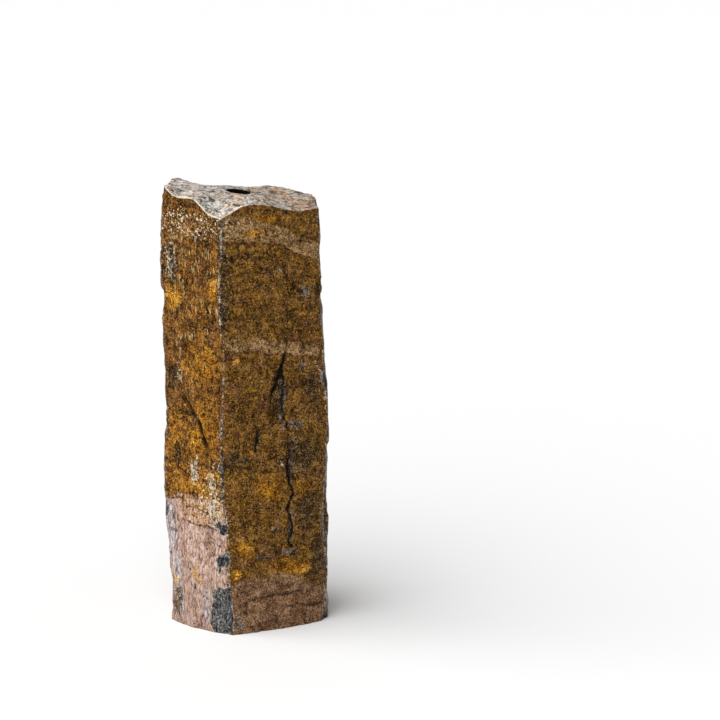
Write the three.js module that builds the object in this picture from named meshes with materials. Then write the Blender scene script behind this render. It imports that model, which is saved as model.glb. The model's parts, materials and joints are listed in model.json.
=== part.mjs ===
/*
 * A basalt column for a garden fountain: one piece of stone with seven long faces, standing on a sawn foot.
 * Its head is left as it broke, and one hole is core-drilled from head to foot for the water pipe.
 *
 * Millimetres, +Z up. The column is drawn round the axis of its bore, and then placed so that the origin
 * lies on the ground, at the middle of its overall plan. -Y is the side that faces the viewer.
 */
import * as THREE from "three";
import { ImprovedNoise } from "three/addons/math/ImprovedNoise.js";

// Driving dimensions.
const BORE_DIAMETER = 43;
const HEAD_AT_BORE = 750; // height of the head where the bore comes out
const COLUMN_PITCH = 12.6; // spacing of the mesh round the faces
const ROWS = 52; // rows of the mesh up a face
const HEAD_RINGS = 7;
const FOOT_RINGS = 2;
const BORE_LEVELS = [1, 0.97, 0.9, 0.5, 0]; // rings down the bore, as shares of its height

// The arrises, the long edges between two faces, anticlockwise from above. Each is a list of [z, x, y], and
// bow is how far the face that follows it stands out at its middle, at the foot and at the head.
const ARRISES = [
  {
    name: "front",
    line: [
      [0, -13, -116], [80, -17, -115], [190, -19, -114], [235, -25, -113], [338, -29, -113],
      [400, -24, -113], [500, -21, -113], [522, -27, -113], [590, -28, -113], [725, -23, -113],
    ],
    bow: [7, 4],
  },
  {
    name: "right",
    line: [
      [0, 137, -43], [180, 139, -42], [222, 145, -41], [258, 145, -41], [350, 151, -41], [428, 148, -41],
      [452, 143, -41], [600, 140, -41], [690, 137, -41], [726, 135, -41],
    ],
    bow: [1, 1],
  },
  {
    name: "right_rear",
    line: [
      [0, 150, -21], [250, 151, -20], [345, 151, -18], [430, 147, -16], [600, 140, -14], [726, 134, -12],
    ],
    bow: [3, 5],
  },
  {
    name: "back_right",
    line: [[0, 127, 78], [160, 131, 80], [390, 130, 83], [560, 121, 82], [740, 112, 80]],
    bow: [4, -3],
  },
  {
    name: "back",
    line: [[0, 22, 127], [210, 16, 129], [450, 25, 126], [640, 18, 123], [740, 11, 120]],
    bow: [-3, 5],
  },
  {
    name: "back_left",
    line: [[0, -104, 84], [230, -114, 88], [430, -109, 92], [610, -117, 90], [760, -112, 88]],
    bow: [5, 2],
  },
  {
    name: "left",
    line: [
      [0, -122, -32], [70, -119, -32], [135, -125, -31], [200, -130, -30], [280, -131, -30],
      [330, -127, -31], [398, -126, -31], [419, -129, -30], [453, -125, -31], [498, -129, -31],
      [551, -132, -30], [563, -125, -32], [592, -129, -31], [620, -131, -30], [680, -132, -30],
      [694, -129, -31], [762, -125, -32],
    ],
    bow: [10, 5],
  },
];

// Spoon-shaped scars where flakes came off the faces: centre, reach and greatest depth.
const SCARS = [
  { at: [-118, -40, 640], reach: 62, depth: 4.5 },
  { at: [-100, -50, 375], reach: 75, depth: 3.5 },
  { at: [-128, -25, 60], reach: 55, depth: 5 },
  { at: [50, -90, 400], reach: 80, depth: 3 },
  { at: [120, -52, 560], reach: 70, depth: 3 },
  { at: [70, -80, 110], reach: 85, depth: 2.5 },
  { at: [142, 30, 610], reach: 95, depth: 8 },
  { at: [146, 42, 240], reach: 110, depth: 6 },
  { at: [112, 92, 430], reach: 70, depth: 7 },
  { at: [70, 108, 690], reach: 90, depth: 9 },
  { at: [80, 104, 150], reach: 80, depth: 5 },
  { at: [18, 126, 330], reach: 60, depth: 8 },
  { at: [-40, 112, 560], reach: 110, depth: 7 },
  { at: [-60, 106, 90], reach: 90, depth: 8 },
  { at: [-110, 88, 700], reach: 60, depth: 8 },
  { at: [-122, 30, 470], reach: 90, depth: 6 },
  { at: [-120, 40, 170], reach: 85, depth: 5 },
];

// The head: a plane that falls to the right, with swells and hollows: centre, reach and rise.
const HEAD_FALL = 0.125; // millimetres down for each to the right
const HEAD_SHAPE = [
  { at: [0, 0], reach: 95, rise: 7 },
  { at: [-125, -32], reach: 34, rise: 5 },
  { at: [-96, -56], reach: 34, rise: -5 },
  { at: [-34, -108], reach: 48, rise: -23 },
  { at: [40, -85], reach: 45, rise: 4 },
  { at: [98, -58], reach: 30, rise: -6 },
  { at: [-60, 106], reach: 60, rise: -10 },
  { at: [4, 122], reach: 52, rise: -8 },
  { at: [66, 94], reach: 66, rise: 6 },
  { at: [126, 34], reach: 60, rise: 8 },
];
const HEAD_PLANE = HEAD_AT_BORE - HEAD_SHAPE[0].rise;

const noise = new ImprovedNoise();

// Smooth noise between about -1 and 1, with lumps of the given size.
function lumps(x, y, z, size, seed) {
  return noise.noise(x / size + seed, y / size + seed, z / size - seed);
}

// 1 at the centre, falling smoothly to 0 at the edge, for a distance given as a share of the reach.
function spoon(share) {
  return share < 1 ? (1 - share * share) ** 2 : 0;
}

// Where an arris is at height z.
function arrisAt(arris, z) {
  const { line } = arris;
  let i = 1;
  while (i < line.length - 1 && line[i][0] < z) i++;
  const [below, above] = [line[i - 1], line[i]];
  const share = THREE.MathUtils.clamp((z - below[0]) / (above[0] - below[0]), 0, 1);
  return new THREE.Vector2(below[1], below[2]).lerp(new THREE.Vector2(above[1], above[2]), share);
}

// The height of the broken head over a point of the plan.
function headHeight(x, y) {
  let z = HEAD_PLANE - HEAD_FALL * x;
  for (const { at, reach, rise } of HEAD_SHAPE) {
    z += rise * spoon(Math.hypot(x - at[0], y - at[1]) / reach);
  }
  return z + 1.8 * lumps(x, y, 0, 38, 3.7) + 1.2 * lumps(x, y, 0, 17, 8.1);
}

// How far the stone stands out from the plain face at a point: low lumps, less the scars.
function relief(x, y, z) {
  let out = 3 * lumps(x, y, z * 0.6, 90, 1.3) + 1.6 * lumps(x, y, z * 0.7, 34, 5.9);
  for (const { at, reach, depth } of SCARS) {
    out -= depth * spoon(Math.hypot(x - at[0], y - at[1], z - at[2]) / reach);
  }
  return out;
}

// A point of the side, at height z: face is the arris that it starts from, and share how far along it is.
function sidePoint(face, share, z) {
  const arris = ARRISES[face];
  const start = arrisAt(arris, z);
  const end = arrisAt(ARRISES[(face + 1) % ARRISES.length], z);
  const along = end.clone().sub(start).normalize();
  const outward = new THREE.Vector2(along.y, -along.x);
  const middle = 4 * share * (1 - share); // 1 in the middle of the face, 0 at its arrises
  const bow = THREE.MathUtils.lerp(...arris.bow, z / HEAD_AT_BORE) * middle;
  const point = start.lerp(end, share);
  const out = bow + relief(point.x, point.y, z) * (0.35 + 0.65 * middle);
  return point.addScaledVector(outward, out);
}

// The mesh's columns: on which face each one is, how far along, how high its rim is, and its bearing.
function makeColumns() {
  const columns = [];
  ARRISES.forEach((arris, face) => {
    const next = ARRISES[(face + 1) % ARRISES.length];
    const width = arrisAt(arris, HEAD_AT_BORE / 2).distanceTo(arrisAt(next, HEAD_AT_BORE / 2));
    const count = Math.max(2, Math.round(width / COLUMN_PITCH));
    for (let i = 0; i < count; i++) {
      const share = i / count;
      let rim = HEAD_AT_BORE;
      for (let pass = 0; pass < 3; pass++) {
        const point = sidePoint(face, share, rim);
        rim = headHeight(point.x, point.y);
      }
      columns.push({ face, share, rim, bearing: sidePoint(face, share, HEAD_AT_BORE / 2).angle() });
    }
  });
  return columns;
}

// The rings of the closed surface in turn: up the side, in over the head, down the bore, out over the foot.
function makeRings(columns) {
  const radius = BORE_DIAMETER / 2;
  const boreAt = ({ bearing }) => new THREE.Vector2(radius, 0).rotateAround(new THREE.Vector2(), bearing);
  const ring = (place) => columns.map(place);
  const rings = [];
  for (let row = 0; row <= ROWS; row++) {
    rings.push(ring((c) => {
      const z = (c.rim * row) / ROWS;
      const { x, y } = sidePoint(c.face, c.share, z);
      return [x, y, z];
    }));
  }
  for (let i = 1; i < HEAD_RINGS; i++) {
    rings.push(ring((c) => {
      const { x, y } = sidePoint(c.face, c.share, c.rim).lerp(boreAt(c), i / HEAD_RINGS);
      return [x, y, headHeight(x, y)];
    }));
  }
  for (const level of BORE_LEVELS) {
    rings.push(ring((c) => {
      const { x, y } = boreAt(c);
      return [x, y, headHeight(x, y) * level];
    }));
  }
  for (let i = 1; i < FOOT_RINGS; i++) {
    rings.push(ring((c) => {
      const { x, y } = boreAt(c).lerp(sidePoint(c.face, c.share, 0), i / FOOT_RINGS);
      return [x, y, 0];
    }));
  }
  return rings;
}

// One closed surface through the rings: the last joins the first, as does the last column of each ring.
// Each four-sided cell is split along its shorter diagonal.
function skin(rings) {
  const count = rings[0].length;
  const points = rings.flat().map((p) => new THREE.Vector3(...p));
  const index = [];
  rings.forEach((_, r) => {
    for (let c = 0; c < count; c++) {
      const nextRing = (r + 1) % rings.length;
      const nextColumn = (c + 1) % count;
      const a = r * count + c;
      const b = r * count + nextColumn;
      const d = nextRing * count + c;
      const e = nextRing * count + nextColumn;
      const split = points[a].distanceTo(points[e]) < points[b].distanceTo(points[d]);
      index.push(...(split ? [a, b, e, a, e, d] : [a, b, d, b, e, d]));
    }
  });
  const geometry = new THREE.BufferGeometry().setFromPoints(points);
  geometry.setIndex(index);
  geometry.computeVertexNormals();
  return geometry;
}

function basaltColumn() {
  const stone = new THREE.MeshStandardMaterial({
    color: 0x6b4a26,
    roughness: 0.6,
    metalness: 0,
    flatShading: true,
  });
  const geometry = skin(makeRings(makeColumns()));
  geometry.computeBoundingBox();
  const middle = geometry.boundingBox.getCenter(new THREE.Vector3());
  const mesh = new THREE.Mesh(geometry, stone);
  mesh.name = "basalt_column";
  mesh.position.set(-middle.x, -middle.y, 0);
  return mesh;
}

const column = new THREE.Group();
column.add(basaltColumn());

export default column;
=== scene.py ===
"""The looks of a basalt column for a garden fountain.

The column is one stone. Its mesh is made from the CAD solid: welded, subdivided with its arrises kept sharp,
and then carved in code with lumps, ledges, cracks, spalled skin and chips, which leave the foot flat.

Lengths in this script are in millimetres, measured from the axis of the column's bore, unless a name ends in
_M. A place on the side of the column is given as (u, z): u is the way round the column from its front arris,
positive to the viewer's right, and z is the height above the ground.
"""

import json
import math

import bmesh
import bpy
import numpy as np
from mathutils import Euler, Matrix, Vector, kdtree, noise

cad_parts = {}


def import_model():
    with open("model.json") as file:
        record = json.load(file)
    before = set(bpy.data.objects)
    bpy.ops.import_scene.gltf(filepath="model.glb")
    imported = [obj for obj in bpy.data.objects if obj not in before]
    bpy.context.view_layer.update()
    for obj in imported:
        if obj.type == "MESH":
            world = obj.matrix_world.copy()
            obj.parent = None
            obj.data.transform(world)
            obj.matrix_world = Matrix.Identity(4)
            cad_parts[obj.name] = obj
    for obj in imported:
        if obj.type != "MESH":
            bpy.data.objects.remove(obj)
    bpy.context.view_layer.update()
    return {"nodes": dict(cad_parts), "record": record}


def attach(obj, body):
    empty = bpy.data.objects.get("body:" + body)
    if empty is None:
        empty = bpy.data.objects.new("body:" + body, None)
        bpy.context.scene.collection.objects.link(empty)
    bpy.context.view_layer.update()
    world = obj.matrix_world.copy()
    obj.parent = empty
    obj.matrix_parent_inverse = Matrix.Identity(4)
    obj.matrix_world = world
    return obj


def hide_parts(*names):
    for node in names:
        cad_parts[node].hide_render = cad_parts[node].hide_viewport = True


MM = 0.001

# Where each arris is in plan at mid height, anticlockwise from the front one. The narrow strip beside the
# right arris counts as part of the face that follows it.
ARRISES = [(-24, -113), (146, -41), (130, 83), (24, 126), (-110, 91), (-129, -31)]
FRONT, RIGHT, BACK_RIGHT, BACK, BACK_LEFT, LEFT = range(6)
FRONT_FACES = (-140, 190)  # u just beyond both ends of the two faces that meet at the front arris
ARRIS_STEP = 20  # spacing of the heights at which the arrises are found
ARRIS_TOP = 720
ARRIS_REACH = 22  # how far an arris wanders in plan, at most
BORE_RADIUS = 21.5
HEAD_FLOOR = 650  # no part of the head is as low as this
SHARP_ANGLE = math.radians(30)  # edges that bend more than this stay sharp when the mesh is subdivided
SQUARE_ANGLE = math.radians(70)  # how far the four-sided cells may be from square
WELD_M = 2e-5
FINENESS = 2  # times that each cell of the CAD mesh is halved
SIDE, HEAD, FOOT, BORE = range(4)  # the zones of the surface
CHIP_SEED = 30
RIM_CHIPS = 32  # random chips off the rim of the head
FOOT_CHIPS = 8  # and off the edge of the foot

# The camera, whose angle is in degrees below level, and the light.
VIEWER = (205.7, -4460)  # in plan
EYE_HEIGHT = 1535
LOOK_DOWN = 13.6
LENS = 134
SENSOR = 36
LIGHT_FROM = (-0.6, -0.45, 0.66)
LIGHT_WIDTH = 90  # degrees across
LIGHT_POWER = 3.95
WORLD_LIGHT = 0.32  # how brightly the white world shines on the stone

# Cracks in the side: (path of (u, z), width, depth).
CRACKS = [
    ([(121, 551), (118, 516), (112, 484)], 2.5, 1.5),
    ([(112, 484), (104, 458), (93, 432), (86, 416)], 6.0, 4.0),
    ([(86, 416), (83, 390), (85, 362)], 3.0, 2.0),
    ([(107, 466), (106, 448), (104, 410), (107, 379), (113, 352)], 4.0, 3.0),
    ([(62, 357), (61, 340), (60, 319)], 4.5, 2.5),
    ([(83, 299), (95, 310), (108, 296), (115, 281)], 2.5, 1.2),
    ([(115, 352), (112, 329), (118, 307), (113, 289)], 3.0, 2.0),
    ([(113, 289), (117, 263), (124, 239), (114, 211), (117, 200)], 5.0, 3.5),
    ([(117, 200), (124, 183), (121, 170), (114, 160), (115, 143)], 4.0, 3.0),
    ([(-98, 338), (-94, 312), (-97, 278)], 3.0, 1.6),
    ([(-52, 368), (-44, 352), (-40, 346), (-33, 328)], 4.0, 2.2),
    ([(-111, 400), (-107, 377), (-103, 363)], 2.2, 1.4),
    ([(-89, 296), (-84, 277)], 2.2, 1.4),
    ([(-84, 243), (-89, 220)], 2.0, 1.2),
    ([(262, 722), (255, 668), (268, 622), (249, 560), (258, 521)], 3.5, 3.0),
    ([(268, 622), (284, 590), (281, 548)], 2.2, 1.8),
    ([(228, 300), (241, 258), (233, 210), (246, 150), (239, 96)], 3.0, 2.2),
    ([(386, 655), (371, 618), (378, 560), (356, 520), (362, 470), (349, 420)], 3.5, 2.8),
    ([(378, 560), (396, 528), (392, 500)], 2.2, 1.6),
    ([(340, 236), (347, 204), (336, 188)], 2.5, 1.8),
    ([(400, 150), (391, 110), (396, 60)], 3.0, 2.0),
    ([(-372, 728), (-360, 690), (-366, 640), (-341, 604), (-346, 560), (-322, 528)], 4.0, 3.2),
    ([(-341, 604), (-318, 590), (-310, 566)], 2.2, 1.8),
    ([(-286, 352), (-296, 316), (-289, 280)], 3.0, 2.2),
    ([(-322, 214), (-309, 176), (-317, 130), (-300, 70), (-306, 30)], 3.5, 2.6),
    ([(-236, 668), (-222, 640), (-228, 600), (-204, 566)], 3.0, 2.4),
    ([(-172, 470), (-186, 436), (-180, 396), (-196, 360)], 3.0, 2.2),
    ([(-214, 236), (-206, 202), (-212, 176)], 2.6, 1.8),
]

# Creases, which are wider and softer than cracks and are darkened with painted shade: (path, width, depth).
CREASES = [
    ([(-92, 407), (-76, 398), (-64, 378), (-52, 368), (-43, 348), (-32, 326)], 13.0, 3.4),
    ([(18, 48), (36, 58), (54, 61), (78, 60), (108, 61), (135, 62)], 7.0, 1.4),
    ([(97, 39), (129, 39), (161, 33), (183, 31)], 6.0, 1.3),
    ([(7, 299), (31, 294), (56, 288), (83, 280)], 8.0, 1.4),
    ([(110, 640), (128, 606), (150, 588)], 8.0, 1.2),
    ([(-110, 660), (-104, 630), (-112, 600)], 9.0, 2.0),
    ([(192, 196), (226, 186), (262, 190), (304, 172)], 7.0, 1.4),
    ([(318, 372), (352, 384), (388, 379), (420, 396)], 8.0, 1.6),
    ([(-392, 292), (-352, 306), (-306, 300), (-262, 318)], 8.0, 1.6),
    ([(-250, 426), (-214, 408), (-176, 414), (-140, 398)], 8.0, 1.6),
]

# Steep-sided recesses in the faces: (u, z, half width, half height, depth).
RECESSES = [
    (101, 418, 17, 62, 3.0), (117, 300, 7, 46, 2.0), (108, 133, 26, 8, 1.8), (154, 588, 10, 14, 1.6),
    (-110, 638, 19, 46, 2.6), (-113, 437, 18, 26, 2.4), (-117, 42, 14, 22, 2.4), (-98, 305, 12, 26, 1.6),
    (250, 610, 22, 50, 3.0), (280, 240, 18, 56, 3.0), (350, 560, 20, 46, 3.0), (395, 200, 16, 50, 2.6),
    (-330, 600, 24, 50, 3.4), (-300, 250, 20, 60, 3.0), (-372, 140, 16, 40, 2.6), (-200, 520, 20, 60, 3.0),
    (-190, 190, 20, 44, 2.8),
]

# Ledges, where the skin above a line stands proud of what is below: (path of (u, z), step, fade upwards).
LEDGES = [
    ([(6, 684), (60, 680), (109, 673), (146, 654), (182, 639)], 2.2, 42),
    ([(2, 499), (67, 493), (108, 486), (176, 472)], 2.6, 24),
    ([(-135, 221), (-110, 226), (-87, 230), (-86, 193), (-69, 189), (-44, 187), (-12, 185)], 1.6, 50),
    ([(50, 129), (70, 131), (93, 124), (115, 119), (136, 127)], 2.0, 10),
    ([(111, 370), (126, 364), (140, 352)], 2.0, 12),
    ([(8, 290), (60, 287), (110, 279)], 1.6, 20),
    ([(8, 396), (40, 390), (78, 392)], 1.2, 30),
    ([(188, 584), (214, 592), (246, 590), (262, 606), (308, 612)], 2.8, 50),
    ([(188, 318), (222, 310), (250, 322), (306, 330)], 2.4, 36),
    ([(312, 540), (340, 528), (372, 530), (392, 512), (422, 506)], 2.8, 45),
    ([(312, 250), (350, 262), (384, 258), (422, 276)], 2.2, 40),
    ([(-394, 452), (-362, 440), (-330, 446), (-300, 424), (-260, 412)], 3.0, 55),
    ([(-394, 180), (-340, 192), (-310, 186), (-260, 206)], 2.4, 36),
    ([(-256, 548), (-226, 560), (-196, 556), (-160, 580), (-136, 584)], 2.6, 48),
    ([(-256, 352), (-216, 340), (-180, 346), (-136, 322)], 2.2, 36),
]

# Chips knocked off the arrises: (arris, height, half length, depth, lean in degrees towards the next face).
CHIPS = [
    (FRONT, 38, 40, 4.0, -22),
    (FRONT, 126, 26, 1.6, -16),
    (FRONT, 188, 15, 2.0, -22),
    (FRONT, 526, 8, 1.4, -16),
    (FRONT, 574, 8, 1.4, -16),
    (FRONT, 620, 10, 1.6, -16),
    (FRONT, 296, 8, 1.2, -16),
    (RIGHT, 640, 8, 1.4, 10),
    (RIGHT, 560, 6, 1.2, -8),
    (RIGHT, 438, 20, 3.0, -14),
    (RIGHT, 300, 7, 1.2, 8),
    (RIGHT, 150, 9, 1.5, 12),
    (RIGHT, 2, 12, 1.6, 5),
    (LEFT, 566, 16, 3.0, 0),
    (LEFT, 430, 9, 1.4, 12),
    (LEFT, 300, 7, 1.2, -8),
    (LEFT, 205, 18, 2.4, 10),
]

# Patches of each colour on the side, as ellipses: (u, z, half width, half height).
PATCHES = {
    "gold": [
        (-106, 578, 34, 28), (-40, 350, 50, 70), (-110, 330, 34, 70), (-60, 262, 90, 44), (-50, 470, 50, 50),
        (-14, 600, 12, 30), (80, 252, 34, 36),
        (30, 150, 26, 26), (12, 108, 14, 20), (146, 244, 28, 26), (84, 716, 46, 10), (110, 108, 60, 22),
        (130, 52, 40, 8), (165, 20, 26, 12), (215, 420, 40, 50),
        (270, 180, 40, 60), (250, 690, 60, 26), (350, 600, 50, 70), (400, 330, 30, 60), (340, 110, 60, 40),
        (-350, 560, 60, 60), (-280, 300, 40, 70), (-370, 130, 40, 40), (-200, 480, 50, 70),
        (-160, 300, 30, 60), (-230, 690, 40, 30),
    ],
    "bright": [
        (-107, 579, 24, 18), (-29, 497, 10, 7), (-118, 78, 8, 9), (-69, 99, 7, 12), (-58, 89, 6, 6),
        (22, 478, 7, 5), (50, 318, 7, 6), (-60, 330, 12, 8), (-12, 608, 7, 14), (30, 152, 14, 8),
        (14, 104, 8, 9), (162, 286, 9, 8), (62, 694, 24, 7), (160, 320, 9, 5), (140, 104, 28, 9),
        (214, 452, 26, 8), (282, 128, 12, 24), (338, 668, 26, 9),
        (-352, 514, 12, 22), (-278, 352, 22, 9), (-214, 486, 10, 24), (-168, 300, 24, 8),
    ],
    # The dark patches are partly dark stains and partly painted shade, in the recesses and towards the right
    # edge of the right face.
    "dark": [
        (-110, 638, 22, 50), (-114, 437, 20, 28), (-98, 303, 15, 28), (-119, 36, 18, 34), (-64, 366, 8, 30),
        (100, 420, 18, 62), (117, 296, 11, 54), (117, 170, 6, 34), (20, 318, 16, 14), (8, 600, 13, 112),
        (140, 302, 48, 56), (62, 340, 8, 28), (194, 190, 10, 230), (160, 420, 22, 50), (30, 306, 40, 12),
        (152, 210, 34, 64), (165, 120, 22, 50), (230, 560, 30, 60),
        (290, 400, 26, 50), (220, 120, 30, 50), (370, 420, 40, 40), (330, 690, 40, 30), (-300, 640, 40, 50),
        (-340, 330, 34, 60), (-270, 120, 30, 50), (-180, 600, 36, 40), (-220, 250, 30, 60),
    ],
    "grey": [
        (108, 629, 7, 6), (154, 588, 10, 13), (144, 460, 7, 7), (62, 130, 18, 4), (108, 134, 26, 6),
        (126, 362, 18, 8), (14, 20, 9, 20), (122, 300, 6, 50), (120, 180, 5, 34),
        (104, 405, 8, 50), (-110, 52, 8, 20), (280, 560, 12, 30), (340, 330, 10, 40), (-112, 640, 10, 36),
        (-310, 520, 14, 40), (-220, 130, 12, 30),
    ],
    "pale": [(-57, 281, 9, 24), (-20, 262, 8, 16), (-24, 215, 6, 30), (190, 36, 7, 26)],
    "blue": [(-123, 170, 20, 70), (-114, 98, 16, 48), (-104, 40, 9, 40), (-48, 40, 8, 40)],
    "flecks": [
        (-64, 706, 110, 28), (-112, 640, 18, 50), (-98, 448, 12, 20), (-30, 224, 40, 44), (-56, 282, 20, 34),
        (-20, 256, 26, 44), (-118, 60, 14, 40),
    ],
    "streaks": [
        (-110, 640, 26, 56), (-62, 610, 80, 90), (-64, 500, 50, 60), (-84, 440, 30, 40), (-16, 250, 14, 60),
    ],
}

# Bands of paler, greyer skin across the side: (lower edge, upper edge).
BANDS = [
    (
        [(4, 684), (60, 680), (109, 673), (146, 654), (184, 639)],
        [(4, 728), (50, 722), (110, 700), (184, 666)],
    ),
    ([(2, 499), (67, 493), (108, 486), (178, 472)], [(2, 519), (67, 513), (110, 508), (178, 492)]),
    (
        [(188, 584), (214, 592), (246, 590), (262, 606), (308, 612)],
        [(188, 622), (230, 616), (262, 640), (308, 634)],
    ),
    (
        [(312, 540), (340, 528), (372, 530), (392, 512), (422, 506)],
        [(312, 562), (352, 566), (392, 540), (422, 546)],
    ),
    (
        [(-394, 452), (-362, 440), (-330, 446), (-300, 424), (-260, 412)],
        [(-394, 496), (-350, 474), (-310, 478), (-260, 436)],
    ),
    (
        [(-256, 352), (-216, 340), (-180, 346), (-136, 322)],
        [(-256, 370), (-220, 376), (-170, 362), (-136, 352)],
    ),
]

# Mauve skin at the foot: (lower edge, upper edge).
FOOT_BANDS = [
    ([(2, -20), (184, -20)], [(2, 88), (40, 97), (79, 98), (119, 93), (184, 62)]),
    ([(188, -20), (308, -20)], [(188, 52), (226, 40), (262, 46), (308, 24)]),
    ([(-394, -20), (-260, -20)], [(-394, 20), (-350, 44), (-300, 36), (-260, 60)]),
]

# On the left face and the one behind it, the brown skin ends at the first of these lines, and the last spots
# of it on the bare foot end at the second.
BARE_TOP = [
    (-238, -30), (-232, 44), (-214, 56), (-206, 112), (-182, 120), (-172, 178), (-150, 190), (-135, 221),
    (-110, 228), (-87, 238), (-49, 239), (-4, 236),
]
CLEAN_TOP = [
    (-238, -60), (-226, 14), (-206, 30), (-194, 92), (-176, 100), (-164, 160), (-150, 180), (-135, 221),
    (-88, 230), (-87, 192), (-44, 187), (-4, 186),
]

# Where rust has run.
RUST_LINES = [
    [(-135, 221), (-110, 226), (-87, 231), (-88, 211), (-88, 192), (-69, 189), (-44, 187), (-20, 187)],
    [(-84, 214), (-60, 216), (-38, 212)],
    [(-121, 78), (-116, 66)],
    [(-71, 110), (-67, 90)],
    [(-98, 196), (-98, 174)],
]

# Thin pale lines, rubbed along edges or dried in cracks.
PALE_LINES = [
    [(170, 466), (174, 452), (179, 440), (181, 424), (182, 380)],
    [(188, 330), (192, 250), (190, 170), (196, 80), (196, 0)],
    [(200, 300), (202, 200), (199, 120), (204, 20)],
    [(-26, 276), (-17, 244), (-8, 196)],
    [(94, 302), (101, 296), (108, 288)],
    [(84, 178), (92, 184), (98, 178)],
]

# The stone's colours, each from its dark pits to its bright specks, and where these fall on the grain.
GRAIN_STOPS = (0.28, 0.41, 0.50, 0.59, 0.74)
BROWN = ("170b02", "3d2205", "5e3b0a", "7d5612", "b48f4c")
GOLD = ("241003", "633705", "945a08", "b87a10", "dfa838")
TAN = ("2a190f", "664a2a", "8f6b44", "ab865c", "dabf98")
MAUVE = ("38231a", "5c3e2d", "76523e", "8a6850", "b09278")
OCHRE = ("3a1c04", "9c5c08", "d08a12", "eeae30", "ffe08c")
BLACK_STAIN_AND_SHADE = ("050301", "100a05", "21160c", "3a2a1a", "8a7a60")
GREY = ("0e0c0b", "2e2a29", "4f4a4a", "767072", "b4b0ac")
PINK = ("69524a", "a07e70", "b69688", "c6a89a", "decabd")
BLUE = ("4a4448", "827a80", "9f969b", "b6afb2", "dedadb")
CHIP = ("121213", "2a292a", "403f40", "5d5b5b", "9c9a94")
SPLIT = ("4c4845", "918c87", "c3bcb4", "dcd4ca", "fbf5ec")
PALE = ("1e1712", "5e5144", "a09080", "cfc2b0", "f8f1e4")

# Colours of the single marks, the painted shade in creases, hollows and the bore, and the tints that warm the
# left faces and dull the right of the head.
PIT = "0d0704"
TAN_FLECK = "cfa35a"
CREAM_FLECK = "ecdcba"
SCRATCH = "dcc48c"
VEIN = "b8924a"
FOOT_BOTTOM_DARK = "5c4238"
FOOT_CRACK = "4a2f22"
RUST = "5a2f08"
CREASE_SHADE = "1c1008"
CRACK = "0c0705"
LIP = "efe4cc"
HOLLOW_SHADE = "120b06"
BORE_SHADE = "080605"
LEFT_TINT = "ffe0a8"
HEAD_TINT = "c8b49c"

# Hues laid over the skin and the head, by where they fall on a noise, and the roughness along the grain.
STAIN_HUES = ((0.38, "5c3440"), (0.46, "70481c"), (0.55, "7a5a0c"), (0.62, "a04a0a"))
FLECK_HUES = ((0.40, "6a4450"), (0.47, "6e501c"), (0.53, "726414"), (0.59, "b4600c"))
HEAD_HUES = ((0.40, "a09d98"), (0.50, "b5aa9c"), (0.58, "c49c7c"))
ROUGHNESS = ((0.3, "606060"), (0.7, "a0a0a0"))


# ---------------------------------------------------------------- small tools


def smoothstep(low, high, value):
    """0 where the value is below low, 1 where it is above high, and a smooth rise between."""
    share = np.clip((value - low) / (high - low), 0, 1)
    return share * share * (3 - 2 * share)


def fractal(points, size, octaves=4, seed=0.0, stretch=1.0):
    """Fractal noise between about -1 and 1 at each point, in lumps of that size, stretch times as tall."""
    placed = points / (size * np.array([1, 1, stretch])) + seed * np.array([1.7, -2.3, 3.1])
    return np.array([noise.fractal(p, 1.0, 2.0, octaves) for p in placed.tolist()])


def ridged(points, size, octaves=4, seed=0.0, stretch=1.0):
    """Noise from 0 to about 1 with sharp crests, as on split stone."""
    return 1 - np.abs(fractal(points, size, octaves, seed, stretch)) * 1.6


def distance_to_path(u, z, path):
    """How far each place on the side is from a line of (u, z) points."""
    best = np.full(len(u), 1e6)
    for (u0, z0), (u1, z1) in zip(path, path[1:]):
        du, dz = u1 - u0, z1 - z0
        share = np.clip(((u - u0) * du + (z - z0) * dz) / (du * du + dz * dz), 0, 1)
        best = np.minimum(best, np.hypot(u - u0 - share * du, z - z0 - share * dz))
    return best


def height_over_path(u, z, path):
    """How far each place on the side is above a line of (u, z) points, and whether it is within its ends."""
    us, zs = zip(*path)
    return z - np.interp(u, us, zs), (u > us[0]) & (u < us[-1])


def in_blobs(u, z, blobs):
    """1 at the middle of each ellipse (u, z, half width, half height), 0 on its outline, and less outside."""
    best = np.full(len(u), -1.0)
    for bu, bz, width, height in blobs:
        best = np.maximum(best, 1 - np.hypot((u - bu) / width, (z - bz) / height))
    return best


def in_bands(u, z, bands):
    """How many millimetres each place is inside a band, or, as less than 0, outside all of them."""
    best = np.full(len(u), -99.0)
    for lower, upper in bands:
        over, within = height_over_path(u, z, lower)
        under, _ = height_over_path(u, z, upper)
        best = np.where(within, np.maximum(best, np.minimum(over, -under)), best)
    return best


def read(items, name, kind, width=1):
    """One property of all the items of a mesh, as an array."""
    values = np.zeros(len(items) * width, kind)
    items.foreach_get(name, values)
    return values.reshape(-1, width) if width > 1 else values


def add_to_scene(name, data):
    """A new object in the scene, which holds a mesh, a light or a camera."""
    thing = bpy.data.objects.new(name, data)
    bpy.context.scene.collection.objects.link(thing)
    return thing


# ---------------------------------------------------------------- the mesh


def zone_of(face, bore_at):
    """Which surface of the column a face of the CAD mesh is on."""
    centre = face.calc_center_median() / MM
    if math.dist(centre.xy, bore_at) < BORE_RADIUS + 0.5 and abs(face.normal.z) < 0.5:
        return BORE
    if centre.z < 1 and face.normal.z < -0.5:
        return FOOT
    return HEAD if face.normal.z > 0.5 and centre.z > HEAD_FLOOR else SIDE


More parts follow.
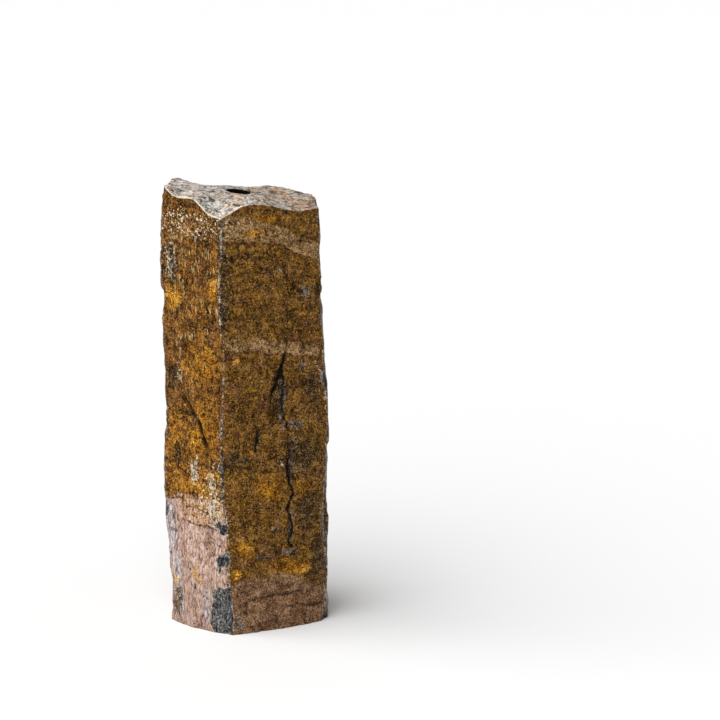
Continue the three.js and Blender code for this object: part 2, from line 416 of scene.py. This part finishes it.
def cad_copy(node, bore_at):
    """A mesh like a CAD node's, welded, with pairs of triangles joined and the sharp edges creased."""
    mesh = node.data.copy()
    form = bmesh.new()
    form.from_mesh(mesh)
    bmesh.ops.remove_doubles(form, verts=form.verts, dist=WELD_M)
    bmesh.ops.join_triangles(
        form,
        faces=form.faces,
        angle_face_threshold=SHARP_ANGLE,
        angle_shape_threshold=SQUARE_ANGLE,
    )
    zones = form.faces.layers.int.new("zone")
    creases = form.edges.layers.float.new("crease_edge")
    for face in form.faces:
        face[zones] = zone_of(face, bore_at)
        face.smooth = True
    for edge in form.edges:
        if edge.calc_face_angle(0) > SHARP_ANGLE:
            edge[creases] = 1.0
    form.to_mesh(mesh)
    form.free()
    return mesh


def subdivided(mesh):
    """A finer mesh with the same sharp edges."""
    carrier = add_to_scene("carrier", mesh)
    smoother = carrier.modifiers.new("finer", "SUBSURF")
    smoother.levels = FINENESS
    evaluated = carrier.evaluated_get(bpy.context.evaluated_depsgraph_get())
    fine = bpy.data.meshes.new_from_object(evaluated)
    bpy.data.objects.remove(carrier)
    return fine


class Surface:
    """The fine mesh as arrays: where each vertex is, which way it faces, and its place on the side."""

    def __init__(self, mesh, bore_at):
        self.mesh = mesh
        self.origin = np.array([*bore_at, 0])
        self.points = read(mesh.vertices, "co", np.float32, 3).astype(float) / MM - self.origin
        self.normals = read(mesh.vertices, "normal", np.float32, 3).astype(float)
        self.edges = read(mesh.edges, "vertices", np.int32, 2)
        zones = read(mesh.attributes["zone"].data, "value", np.int32)
        corners = read(mesh.loops, "vertex_index", np.int32)
        per_corner = np.repeat(zones, read(mesh.polygons, "loop_total", np.int32))
        self.on = [np.isin(np.arange(len(self.points)), corners[per_corner == zone]) for zone in range(4)]
        self.rim = self.on[SIDE] & self.on[HEAD]
        self.find_arrises()
        self.unroll()
        self.find_rim()

    def find_arrises(self):
        """Follows each arris up the column: which way it points, and where it is in plan at each level."""
        side = self.points[self.on[SIDE]]
        self.levels = np.arange(0, ARRIS_TOP + 1, ARRIS_STEP)
        self.outward = []
        self.tracks = []
        for i, here in enumerate(np.array(ARRISES, float)):
            before, after = np.array(ARRISES[i - 1]), np.array(ARRISES[(i + 1) % len(ARRISES)])
            outward = (here - before) / math.dist(here, before) + (here - after) / math.dist(here, after)
            outward /= np.linalg.norm(outward)
            track = []
            for level in self.levels:
                near = side[np.abs(side[:, 2] - level) < 0.45 * ARRIS_STEP, :2]
                near = near[np.linalg.norm(near - here, axis=1) < ARRIS_REACH]
                track.append(near[np.argmax(near @ outward)])
            self.outward.append(outward)
            self.tracks.append(np.array(track))

    def arris_at(self, i, z):
        """Where an arris is in plan at height z."""
        track = self.tracks[i % len(self.tracks)]
        return np.stack([np.interp(z, self.levels, track[:, axis]) for axis in (0, 1)], -1)

    def unroll(self):
        """Finds u and z for every vertex, and how far it is from the nearest arris."""
        count = len(ARRISES)
        lengths = [math.dist(ARRISES[i], ARRISES[(i + 1) % count]) for i in range(count)]
        starts = np.cumsum([0] + lengths[:-1])
        starts[BACK:] -= sum(lengths)  # u jumps at the back arris
        plan = self.points[:, :2]
        self.z = self.points[:, 2]
        self.u = np.zeros(len(plan))
        self.arris_gap = np.full(len(plan), 1e9)
        best = np.full(len(plan), 1e9)
        for i in range(count):
            start, end = self.arris_at(i, self.z), self.arris_at(i + 1, self.z)
            along = end - start
            share = np.clip(((plan - start) * along).sum(1) / (along * along).sum(1), 0, 1)
            gap = np.linalg.norm(plan - start - along * share[:, None], axis=1)
            nearest = gap < best
            best[nearest] = gap[nearest]
            self.u[nearest] = (starts[i] + share * lengths[i])[nearest]
            self.arris_gap = np.minimum(self.arris_gap, np.linalg.norm(plan - start, axis=1))

    def find_rim(self):
        """How far each vertex is from the rim: down the side, or, as less than 0, in over the head."""
        tree = kdtree.KDTree(int(self.rim.sum()))
        for i, point in enumerate(self.points[self.rim]):
            tree.insert(point, i)
        tree.balance()
        order = np.argsort(self.u[self.rim])
        rim_z = np.interp(self.u, self.u[self.rim][order], self.z[self.rim][order])
        self.below_rim = rim_z - self.z
        inside = self.on[HEAD] & ~self.rim
        self.below_rim[inside] = [-tree.find(point)[2] for point in self.points[inside]]
        self.below_rim[self.rim] = 0

    def smoothed(self, values, rounds):
        """The values averaged with their neighbours', over and over."""
        a, b = self.edges.T
        count = np.bincount(a, minlength=len(values)) + np.bincount(b, minlength=len(values))
        for _ in range(rounds):
            total = np.bincount(a, values[b], len(values)) + np.bincount(b, values[a], len(values))
            values = total / count
        return values

    def store(self, name, values):
        """Keeps one value for each vertex on the mesh, for the material to read."""
        attribute = self.mesh.attributes.new(name, "FLOAT", "POINT")
        attribute.data.foreach_set("value", values.astype(np.float32))

    def write(self):
        """Moves the mesh's vertices to the carved points."""
        moved = ((self.points + self.origin) * MM).astype(np.float32)
        self.mesh.vertices.foreach_set("co", moved.ravel())
        self.mesh.update()


# ---------------------------------------------------------------- the relief


def side_relief(stone, u, z):
    """How far the side stands out from its smooth form, at places nudged from their true ones."""
    out = 1.5 * fractal(stone.points, 60, 3, seed=1)
    out += 1.5 * fractal(stone.points, 20, 4, seed=2, stretch=1.5)
    out += 1.2 * fractal(stone.points, 9, 3, seed=3, stretch=5)  # upright ribs
    skin = fractal(stone.points, 46, 5, seed=4, stretch=1.5)
    out -= 1.5 * smoothstep(-0.12, -0.2, skin)  # where the skin has spalled off
    for path, step, fade in LEDGES:
        height, within = height_over_path(u, z, path)
        out += np.where(within, step * smoothstep(-1, 1, height) * smoothstep(fade, 0, height), 0)
    for path, width, depth in CRACKS + CREASES:
        out -= depth * np.exp(-((distance_to_path(u, z, path) / (width / 2)) ** 2))
    for *recess, depth in RECESSES:
        out -= depth * smoothstep(0, 0.22, in_blobs(u, z, [recess]))
    return out


def head_relief(stone):
    """How far the broken head rises above its smooth form."""
    rise = 2.2 * fractal(stone.points, 34, 5, seed=5) + 1.4 * ridged(stone.points, 15, 4, seed=6) - 0.7
    terrace = fractal(stone.points, 52, 3, seed=7) * 4
    rise += 1.3 * (np.floor(terrace) + smoothstep(0.35, 0.65, terrace % 1) - terrace)
    return rise * smoothstep(0, 8, np.hypot(stone.points[:, 0], stone.points[:, 1]) - BORE_RADIUS)


def knock_off(stone, at, way, half, depth, ragged):
    """Knocks a chip of that half length and depth off an edge, at a point, from the side that way points to.

    It pushes the surface out of a ball, which leaves a hollow scar, and notes how deep that was.
    """
    radius = half * half / (2 * depth) + depth / 2
    reach = stone.points - at - way * (radius - depth)
    distance = np.linalg.norm(reach, axis=1)
    inside = np.where(stone.carvable, radius + ragged - distance, -1e3)
    hit = inside > 0
    stone.points[hit] += reach[hit] / distance[hit, None] * inside[hit, None]
    stone.cut = np.maximum(stone.cut, inside)


def chip_arrises(stone, rng, ragged):
    """Knocks the listed chips off the arrises, and many more at random off those at the back."""
    chips = list(CHIPS)
    for arris in (BACK_RIGHT, BACK, BACK_LEFT):
        height = rng.uniform(10, 40)
        while height < 700:
            half = rng.uniform(4, 9) if rng.random() < 0.7 else rng.uniform(10, 26)
            chips.append((arris, height, half, rng.uniform(0.9, 1.5) + half * 0.07, rng.uniform(-24, 24)))
            height += half + rng.uniform(14, 60)
    for arris, height, half, depth, lean in chips:
        way = Vector((*stone.outward[arris], 0))
        way.rotate(Euler((0, 0, math.radians(lean))))
        at = np.array([*stone.arris_at(arris, height), height])
        knock_off(stone, at, np.array(way), half, depth, ragged)


def chip_rim(stone, rng, ragged):
    """Knocks small flakes off the rim of the head at the back, and off the edge of the foot."""
    left, right = FRONT_FACES
    rims = stone.points[stone.rim & ((stone.u < left) | (stone.u > right))]
    feet = stone.points[stone.on[SIDE] & stone.on[FOOT]]
    for edge, rise, count in ((rims, 1.0, RIM_CHIPS), (feet, -1.0, FOOT_CHIPS)):
        for at in edge[rng.choice(len(edge), count, replace=False)]:
            half = rng.uniform(4, 16)
            depth = rng.uniform(0.8, 1.4) + half * 0.08
            way = np.array([at[0], at[1], 0]) / math.hypot(at[0], at[1]) + np.array([0, 0, rise])
            knock_off(stone, at, way / np.linalg.norm(way), half, depth, ragged)


def below_line(u, z, line):
    """Millimetres below a line across the faces at the left, and less than 0 to the right of them."""
    height, _ = height_over_path(u, z, line)
    return np.minimum(-height, smoothstep(0, -8, u) * 400 - 200)


def store_stains(stone, u, z):
    """Stores on the mesh where each kind of colour is."""
    for name, marks in (("crack_gap", CRACKS), ("crease_gap", CREASES)):
        stone.store(name, np.min([distance_to_path(u, z, path) / width for path, width, _ in marks], 0))
    for name, paths in (("rust_gap", RUST_LINES), ("pale_gap", PALE_LINES)):
        stone.store(name, np.min([distance_to_path(u, z, path) for path in paths], 0))
    for name, bands in (("band", BANDS + FOOT_BANDS), ("foot_band", FOOT_BANDS)):
        stone.store(name, in_bands(u, z, bands))
    for name, line in (("bare", BARE_TOP), ("clean", CLEAN_TOP)):
        stone.store(name, below_line(u, z, line))
    for name, patches in PATCHES.items():
        stone.store(name, in_blobs(u, z, patches))
    stone.store("u", stone.u)


def carve(stone):
    """Gives the surface its relief, and stores on the mesh what the material has to know."""
    rng = np.random.default_rng(CHIP_SEED)
    nudge_u = 3.0 * fractal(stone.points, 22, 4, seed=8) + 1.2 * fractal(stone.points, 6, 2, seed=9)
    nudge_z = 3.0 * fractal(stone.points, 22, 4, seed=10) + 1.2 * fractal(stone.points, 6, 2, seed=11)
    u, z = stone.u + nudge_u, stone.z + nudge_z
    before = stone.points.copy()
    flat = stone.normals * np.array([1, 1, 0])
    flat /= np.maximum(np.linalg.norm(flat, axis=1), 1e-6)[:, None]
    side = stone.on[SIDE]
    stone.points[side] += (flat * side_relief(stone, u, z)[:, None])[side]
    head = stone.on[HEAD]
    stone.points[head, 2] += head_relief(stone)[head]
    stone.carvable = side | head
    stone.cut = np.full(len(stone.points), -1e3)
    ragged = 0.4 * fractal(stone.points, 12, 3, seed=12)
    chip_arrises(stone, rng, ragged)
    chip_rim(stone, rng, ragged)
    stone.points[stone.on[FOOT], 2] = 0
    stone.points[:, 2] = np.maximum(stone.points[:, 2], 0)
    moved = ((stone.points - before) * stone.normals).sum(1)
    # How much hollower each vertex is than its neighbours, which the material darkens as painted shade.
    stone.store("hollow", stone.smoothed(moved, 6) - moved)
    stone.store("below_rim", stone.below_rim)
    stone.store("cut", np.maximum(stone.cut, -20))
    stone.store("arris_gap", stone.arris_gap)
    stone.store("bore", stone.on[BORE] & ~stone.on[HEAD] & ~stone.on[FOOT])
    store_stains(stone, u, z)


# ---------------------------------------------------------------- the material


def colour(code):
    """A colour from its six hexadecimal digits, as Blender holds it."""
    parts = [int(code[i : i + 2], 16) / 255 for i in (0, 2, 4)]
    return (*(c / 12.92 if c < 0.04045 else ((c + 0.055) / 1.055) ** 2.4 for c in parts), 1)


class Shader:
    """A short way to write the nodes of the stone's material."""

    def __init__(self, name):
        self.material = bpy.data.materials.new(name)
        self.material.use_nodes = True
        self.tree = self.material.node_tree
        self.surface = self.tree.nodes["Principled BSDF"]
        self.place = self.tree.nodes.new("ShaderNodeTexCoord").outputs["Object"]
        self.ragged = self.uneven(7, 5, 0.65, seed=4)  # wobbles the outline of every mark
        self.left = self.step(self.stored("u"), 6, -6)  # 1 on the faces to the left of the front arris

    def node(self, kind, inputs=None, **settings):
        """A new node with these settings, and with a value or a link for each named input."""
        node = self.tree.nodes.new("ShaderNode" + kind)
        for name, value in settings.items():
            setattr(node, name, value)
        for name, value in (inputs or {}).items():
            self.feed(value, node.inputs[name])
        return node

    def feed(self, value, socket):
        """Gives an input another node's output, a colour as six digits, or a plain value."""
        if isinstance(value, bpy.types.NodeSocket):
            self.tree.links.new(value, socket)
        elif isinstance(value, str):
            socket.default_value = colour(value)
        else:
            socket.default_value = value

    def stored(self, name):
        """What carve() stored on the mesh under this name."""
        return self.node("Attribute", attribute_name=name).outputs["Fac"]

    def noise(self, size, detail=3.0, roughness=0.5, stretch=1.0, seed=0.0, distortion=0.0):
        """Noise round 0.5, in lumps of that size in millimetres, stretch times as tall."""
        scale = 1 / (size * MM)
        scales = (scale, scale, scale / stretch)
        moved = self.node(
            "Mapping", {"Vector": self.place, "Location": (seed, -seed, 2 * seed), "Scale": scales}
        )
        inputs = {"Vector": moved.outputs[0], "Scale": 1.0, "Detail": detail, "Roughness": roughness}
        inputs["Distortion"] = distortion
        return self.node("TexNoise", inputs).outputs["Fac"]

    def uneven(self, size, detail, roughness, **options):
        """The same noise, round 0."""
        return self.add(self.noise(size, detail, roughness, **options), -0.5)

    def threads(self, edge, core, size, **options):
        """1 on winding threads, where noise is as near its middle as core, and 0 beyond edge."""
        return self.step(self.maths("ABSOLUTE", self.uneven(size, 3, 0.6, **options)), edge, core)

    def maths(self, operation, a, b=0.0):
        """One sum, done by a Math node."""
        return self.node("Math", {0: a, 1: b}, operation=operation).outputs[0]

    def add(self, a, b):
        return self.maths("ADD", a, b)

    def times(self, a, b):
        return self.maths("MULTIPLY", a, b)

    def either(self, a, b):
        return self.maths("MAXIMUM", a, b)

    def step(self, value, low, high):
        """0 where the value is below low, 1 where it is above high."""
        inputs = {"Value": value, "From Min": low, "From Max": high}
        return self.node("MapRange", inputs, interpolation_type="SMOOTHSTEP").outputs["Result"]

    def mark(self, name, wobble, low, high):
        """0 to 1 as a stored value goes from low to high, along an outline that wobbles by so much."""
        return self.step(self.add(self.stored(name), self.times(self.ragged, wobble)), low, high)

    def mix(self, share, a, b, blend="MIX"):
        """Colour a, with that share of colour b."""
        node = self.node("Mix", data_type="RGBA", blend_type=blend)
        for value, index in ((share, 0), (a, 6), (b, 7)):
            self.feed(value, node.inputs[index])
        return node.outputs[2]

    def cover(self, base, layer, where, strength=1.0, blend="MIX"):
        """The base colour with a layer over it where a mask is 1, at that strength."""
        return self.mix(self.times(where, strength), base, layer, blend)

    def ramp(self, value, stops):
        """Colours along a value: each stop is (value, six digits)."""
        node = self.node("ValToRGB", {"Fac": value})
        elements = node.color_ramp.elements
        while len(elements) < len(stops):
            elements.new(0.5)
        for element, (position, code) in zip(elements, stops):
            element.position = position
            element.color = colour(code)
        return node.outputs["Color"]

    def palette(self, grain, colours):
        """The colours from the dark pits of the stone to its bright specks."""
        return self.ramp(grain, tuple(zip(GRAIN_STOPS, colours)))


def grain_of(shader, size, seed, stretch=1.0):
    """The grain of the stone, from 0 in its dark pits to 1 on its bright specks."""
    lumps = shader.noise(size * 5, 5, 0.65, stretch, seed, distortion=0.5)
    specks = shader.noise(size, 3, 0.7, stretch, seed + 1, distortion=1.0)
    return shader.add(shader.times(lumps, 0.65), shader.add(shader.times(specks, 1.7), -0.675))


def skin_grain(shader):
    """The grain of the skin, with level banding all over and upright ribs to the left of the front arris."""
    banding = shader.times(shader.uneven(60, 5, 0.65, stretch=0.18, seed=8), 0.35)
    ribs = shader.times(shader.times(shader.uneven(8, 5, 0.7, stretch=7, seed=37), shader.left), 0.5)
    return shader.add(grain_of(shader, 2.6, 1), shader.add(banding, ribs))


def skin_colour(shader, grain):
    """The weathered skin: iron stains from near black through brown to gold, with paler bands."""
    skin = shader.palette(grain, BROWN)
    hues = shader.ramp(shader.noise(20, 7, 0.75, seed=3), STAIN_HUES)
    skin = shader.mix(0.4, skin, hues, "COLOR")
    hues = shader.ramp(shader.noise(4.5, 3, 0.6, seed=55, distortion=0.8), FLECK_HUES)
    skin = shader.mix(0.35, skin, hues, "COLOR")
    skin = shader.cover(skin, LEFT_TINT, shader.left, 0.6, "MULTIPLY")
    gold = shader.add(shader.stored("gold"), shader.times(shader.uneven(14, 6, 0.75, seed=5), 2.6))
    skin = shader.cover(skin, shader.palette(grain, GOLD), shader.step(gold, 0.1, 0.7), 0.75)
    skin = shader.cover(skin, shader.palette(grain, TAN), shader.mark("band", 12, -1, 2), 0.7)
    return shader.cover(skin, shader.palette(grain, MAUVE), shader.mark("foot_band", 60, -8, 8), 0.8)


def foot_skin(shader, skin, grain):
    """The bare pinky-lilac skin at the foot, with ochre spots left on it and rust along its edges."""
    upright = grain_of(shader, 2.8, 9, stretch=3.5)
    clean = shader.stored("clean")
    bare = shader.palette(upright, PINK)
    # The bare foot is darker towards the bottom.
    bare = shader.cover(bare, FOOT_BOTTOM_DARK, shader.step(clean, 60, 130), 0.25)
    cracks = shader.noise(5, 4, 0.7, stretch=4, seed=39)
    bare = shader.cover(bare, FOOT_CRACK, shader.step(cracks, 0.37, 0.33), 0.8)
    bare = shader.cover(bare, shader.palette(upright, BLUE), shader.mark("blue", 1.6, 0.0, 0.5), 0.8)
    spots = shader.noise(6, 5, 0.7, seed=11)
    spots = shader.add(spots, shader.times(shader.step(clean, 4, -4), 0.12))
    bare = shader.cover(bare, shader.palette(grain, GOLD), shader.step(spots, 0.60, 0.64), 0.9)
    skin = shader.cover(skin, bare, shader.mark("bare", 24, -2, 2))
    return shader.cover(skin, RUST, shader.mark("rust_gap", 9, 2.0, 0.8), 0.85)


def patches_on(shader, skin, grain):
    """Bright ochre, grey, black and pale patches, the black ones partly dark stains and partly painted shade.
    """
    sprinkled = shader.step(shader.noise(7, 4, 0.7, seed=35), 0.65, 0.69)
    bright = shader.either(shader.mark("bright", 3.0, 0.0, 0.5), sprinkled)
    skin = shader.cover(skin, shader.palette(grain, OCHRE), bright, 0.75)
    skin = shader.cover(skin, shader.palette(grain, GREY), shader.mark("grey", 3.0, 0.05, 0.4), 0.8)
    # Dark patches: partly dark stains, partly painted shade in the recesses and on the right of the right
    # face.
    skin = shader.cover(skin, shader.palette(grain, BLACK_STAIN_AND_SHADE), shader.mark("dark", 2.4, 0.1, 0.6), 0.75)
    upright = grain_of(shader, 3.0, 41, stretch=3.5)
    return shader.cover(skin, shader.palette(upright, PALE), shader.mark("pale", 2.0, 0.0, 0.3), 0.85)


def pits_on(shader, skin, crowd):
    """Black pits, more of them to the left of the front arris, and fewer where the foot is clean."""
    pits = shader.add(shader.noise(6, 4, 0.7, stretch=1.8, seed=31), shader.times(crowd, 0.4))
    fewer = shader.times(shader.step(shader.stored("clean"), -10, 20), 0.045)
    pits = shader.add(pits, shader.add(fewer, shader.times(shader.left, -0.065)))
    return shader.cover(skin, PIT, shader.step(pits, 0.38, 0.35), 0.85)


def flecks_on(shader, skin, crowd):
    """Pale flecks, crowded in places, pale upright scratches, and thin ochre veins."""
    flecked = shader.mark("flecks", 1.2, -0.2, 0.5)
    flecks = shader.noise(4.2, 3, 0.65, seed=21, distortion=0.5)
    flecks = shader.add(shader.add(flecks, shader.times(flecked, 0.095)), shader.times(crowd, -0.15))
    cream = shader.mix(flecked, TAN_FLECK, CREAM_FLECK)
    skin = shader.cover(skin, cream, shader.step(flecks, 0.66, 0.69), 0.9)
    scratches = shader.threads(0.022, 0.012, 11, stretch=6, seed=23, distortion=0.6)
    broken = shader.step(shader.noise(9, 3, 0.6, stretch=2, seed=25), 0.52, 0.58)
    scratches = shader.times(shader.times(scratches, broken), shader.mark("streaks", 1.2, -0.1, 0.3))
    skin = shader.cover(skin, SCRATCH, scratches, 0.7)
    veins = shader.threads(0.016, 0.008, 9, seed=51, distortion=1.2)
    broken = shader.step(shader.noise(8, 3, 0.6, seed=53), 0.46, 0.52)
    return shader.cover(skin, VEIN, shader.times(veins, broken), 0.5)


def edges_on(shader, skin, grain):
    """Worn pale lines and dark bruises along the arrises, and a pale lip under the rim."""
    here = shader.step(shader.noise(34, 4, 0.6, seed=45), 0.46, 0.54)
    bruises = shader.times(shader.mark("arris_gap", 30, 4.0, 2.5), here)
    skin = shader.cover(skin, shader.palette(grain, CHIP), bruises, 0.7)
    broken = shader.noise(10, 5, 0.7, stretch=1.6, seed=43)
    worn = shader.times(shader.mark("arris_gap", 14, 1.9, 1.0), shader.step(broken, 0.46, 0.52))
    line = shader.times(shader.mark("pale_gap", 12, 1.8, 0.8), shader.step(broken, 0.38, 0.46))
    skin = shader.cover(skin, shader.palette(grain, PALE), shader.either(worn, line), 0.85)
    near_rim = shader.step(shader.stored("below_rim"), 3.0, 2.0)
    lip = shader.times(near_rim, shader.step(shader.stored("u"), 24, 14))
    return shader.cover(skin, LIP, lip, 0.85)


def side_colour(shader, grain):
    """The side of the column: its skin, and every mark on it."""
    skin = foot_skin(shader, skin_colour(shader, grain), grain)
    crowd = shader.uneven(36, 4, 0.6, seed=33)
    skin = pits_on(shader, patches_on(shader, skin, grain), crowd)
    skin = flecks_on(shader, skin, crowd)
    # Painted shade: the soft creases are darkened, as their grooves would be shaded.
    skin = shader.cover(skin, CREASE_SHADE, shader.mark("crease_gap", 1.4, 0.6, 0.0), 0.7)
    skin = shader.cover(skin, CRACK, shader.mark("crack_gap", 1.8, 0.55, 0.3), 0.9)
    skin = edges_on(shader, skin, grain)
    return shader.cover(skin, shader.palette(grain, PALE), shader.mark("cut", 1.4, -0.35, 0.0), 0.7)


def fresh_colour(shader, grain):
    """Newly broken stone: grey and finely speckled on the chips, paler and banded on the head."""
    u = shader.stored("u")
    chip = shader.palette(grain_of(shader, 2.6, 13, stretch=1.8), CHIP)
    strata = shader.times(shader.noise(13, 7, 0.75, seed=15, distortion=0.7), 2.2)
    top = shader.palette(shader.add(strata, shader.add(shader.times(grain, 0.6), -0.88)), SPLIT)
    hues = shader.ramp(shader.noise(34, 5, 0.65, seed=17), HEAD_HUES)
    rusty = shader.times(shader.step(u, -90, -10), 0.35)
    top = shader.mix(shader.add(rusty, 0.35), top, hues, "COLOR")
    top = shader.cover(top, HEAD_TINT, shader.step(u, 40, 120), 0.45, "MULTIPLY")
    return shader.cover(chip, top, shader.step(shader.stored("below_rim"), 14, 6))


def basalt():
    """Weathered basalt: rough, stained skin on the sides and fresh grey stone where it is broken."""
    shader = Shader("basalt")
    grain = skin_grain(shader)
    broken = shader.either(shader.mark("below_rim", 2.0, 0.15, -0.15), shader.mark("cut", 1.4, 0.1, 0.4))
    stone = shader.cover(side_colour(shader, grain), fresh_colour(shader, grain), broken)
    # Painted shade: the hollows of the carved surface are darkened, as shade would fall in them.
    stone = shader.cover(stone, HOLLOW_SHADE, shader.step(shader.stored("hollow"), 0.2, 1.4), 0.6)
    # Painted shade: the wall of the bore is painted near black, standing in for the shadow down the bore.
    stone = shader.cover(stone, BORE_SHADE, shader.step(shader.stored("bore"), 0.05, 0.2))
    shader.feed(stone, shader.surface.inputs["Base Color"])
    shader.feed(shader.ramp(grain, ROUGHNESS), shader.surface.inputs["Roughness"])
    shader.surface.inputs["Specular IOR Level"].default_value = 0.05
    height = shader.add(shader.times(shader.noise(10, 7, 0.7, seed=6), 2.5), shader.times(grain, 1.6))
    bump = shader.node("Bump", {"Strength": 1.0, "Distance": MM, "Height": height})
    shader.feed(bump.outputs["Normal"], shader.surface.inputs["Normal"])
    return shader.material


# ---------------------------------------------------------------- the stage


def make_camera(bore_at):
    """The viewer stands 4.5 m off and looks a little down, with the column left of the middle."""
    lens = bpy.data.cameras.new("camera")
    lens.lens = LENS
    lens.sensor_width = SENSOR
    lens.clip_end = 100
    camera = add_to_scene("camera", lens)
    right, back = np.array(VIEWER) + bore_at
    camera.location = (right * MM, back * MM, EYE_HEIGHT * MM)
    camera.rotation_euler = (math.radians(90 - LOOK_DOWN), 0, 0)
    bpy.context.scene.camera = camera


def make_light():
    """A wide, soft light from high on the left, a little in front of the column."""
    lamp = bpy.data.lights.new("key", "SUN")
    lamp.angle = math.radians(LIGHT_WIDTH)
    lamp.energy = LIGHT_POWER
    add_to_scene("key", lamp).rotation_euler = Vector(LIGHT_FROM).to_track_quat("Z", "Y").to_euler()


def make_floor():
    """A wide, plain, pale floor."""
    bpy.ops.mesh.primitive_plane_add(size=60)
    floor = bpy.context.object
    floor.name = "floor"
    paint = bpy.data.materials.new("pale_floor")
    paint.use_nodes = True
    shader = paint.node_tree.nodes["Principled BSDF"]
    shader.inputs["Base Color"].default_value = (0.9, 0.9, 0.9, 1)
    shader.inputs["Roughness"].default_value = 0.8
    floor.data.materials.append(paint)


def make_world():
    """A world that looks white, and shines less than it looks."""
    world = bpy.data.worlds.new("white")
    bpy.context.scene.world = world
    world.use_nodes = True
    tree = world.node_tree
    background = tree.nodes["Background"]
    background.inputs["Color"].default_value = (1, 1, 1, 1)
    strength = tree.nodes.new("ShaderNodeMapRange")
    strength.inputs["To Min"].default_value = WORLD_LIGHT
    tree.links.new(tree.nodes.new("ShaderNodeLightPath").outputs["Is Camera Ray"], strength.inputs["Value"])
    tree.links.new(strength.outputs["Result"], background.inputs["Strength"])


def make_stage():
    """The floor, the world and the light, shown with plain colours."""
    make_floor()
    make_world()
    make_light()
    bpy.context.scene.view_settings.view_transform = "Standard"


# ---------------------------------------------------------------- the scene


def make_column(frame, bore_at):
    """The finished column, which stands for the CAD's."""
    mesh = subdivided(cad_copy(frame["nodes"]["basalt_column"], bore_at))
    stone = Surface(mesh, bore_at)
    carve(stone)
    stone.write()
    mesh.materials.clear()
    mesh.materials.append(basalt())
    column = add_to_scene("column", mesh)
    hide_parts("basalt_column")
    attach(column, "root")


def corners(box):
    """A box's two corners as plain lists."""
    return [list(corner) for corner in box]


def main():
    """Makes the scene round the CAD."""
    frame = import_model()
    opening = np.array(frame["record"]["physics"]["openings"][0]["box_m"])
    bore_at = opening.mean(0)[:2] / MM
    make_camera(bore_at)
    make_column(frame, bore_at)
    make_stage()


main()
